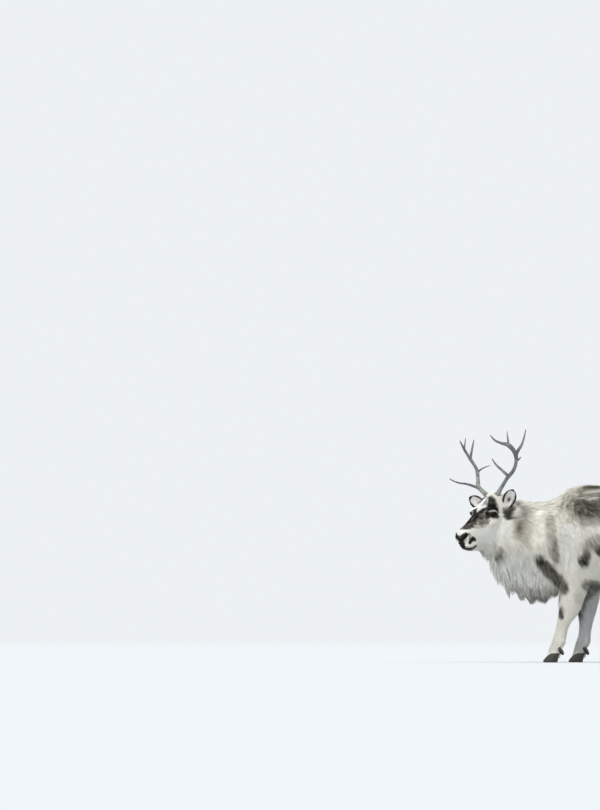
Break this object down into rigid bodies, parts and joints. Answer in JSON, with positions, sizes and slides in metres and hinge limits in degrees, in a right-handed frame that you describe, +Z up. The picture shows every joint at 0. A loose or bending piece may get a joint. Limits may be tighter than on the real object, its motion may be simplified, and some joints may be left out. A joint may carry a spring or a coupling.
{
  "type": "standing reindeer",
  "caption": "Life-size still model of a short-legged Arctic reindeer in thick winter coat, standing with its head turned to its left, with branching antlers.",
  "frame": {"origin": "middle of the footprint of the whole animal, on the ground under it", "axes": "+Z up; the body faces -X; the animal's left side is towards -Y"},
  "size_m": [1.5306, 0.5774, 1.1596],
  "materials": {
    "coat": "dense pale winter hair with grey-brown patches, matte",
    "face_hair": "short dark grey-brown and white hair, matte",
    "ear": "short hair, dark at the rim and back, pale inside",
    "leg_hair": "short pale hair with grey edges, matte",
    "eye": "wet and dark, glossy",
    "antler": "hard grey bone with fine grooves, paler at the bases and tips",
    "hoof": "dark horn, satin"
  },
  "bodies": {
    "root": {"foreleg_left_upper": "leg_hair", "foreleg_left_lower": "leg_hair", "hoof_fore_left_outer": "hoof", "dewclaw_fore_left_outer": "hoof", "hoof_fore_left_inner": "hoof", "dewclaw_fore_left_inner": "hoof", "hindleg_left_upper": "leg_hair", "hindleg_left_lower": "leg_hair", "hoof_hind_left_outer": "hoof", "dewclaw_hind_left_outer": "hoof", "hoof_hind_left_inner": "hoof", "dewclaw_hind_left_inner": "hoof", "foreleg_right_upper": "leg_hair", "foreleg_right_lower": "leg_hair", "hoof_fore_right_outer": "hoof", "dewclaw_fore_right_outer": "hoof", "hoof_fore_right_inner": "hoof", "dewclaw_fore_right_inner": "hoof", "hindleg_right_upper": "leg_hair", "hindleg_right_lower": "leg_hair", "hoof_hind_right_outer": "hoof", "dewclaw_hind_right_outer": "hoof", "hoof_hind_right_inner": "hoof", "dewclaw_hind_right_inner": "hoof", "trunk": "coat", "tail": "coat", "eye_left": "eye", "ear_left": "ear", "antler_left_beam_lower": "antler", "antler_left_beam_middle": "antler", "antler_left_tine_lower": "antler", "antler_left_beam_top": "antler", "antler_left_tine_rear": "antler", "antler_left_tine_middle": "antler", "antler_left_tine_spur": "antler", "eye_right": "eye", "ear_right": "ear", "antler_right_beam_lower": "antler", "antler_right_beam_middle": "antler", "antler_right_tine_brow": "antler", "antler_right_beam_top": "antler", "antler_right_tine_rear": "antler", "antler_right_tine_side": "antler", "antler_right_tine_top": "antler", "head": "face_hair", "neck": "coat"}
  },
  "joints": []
}
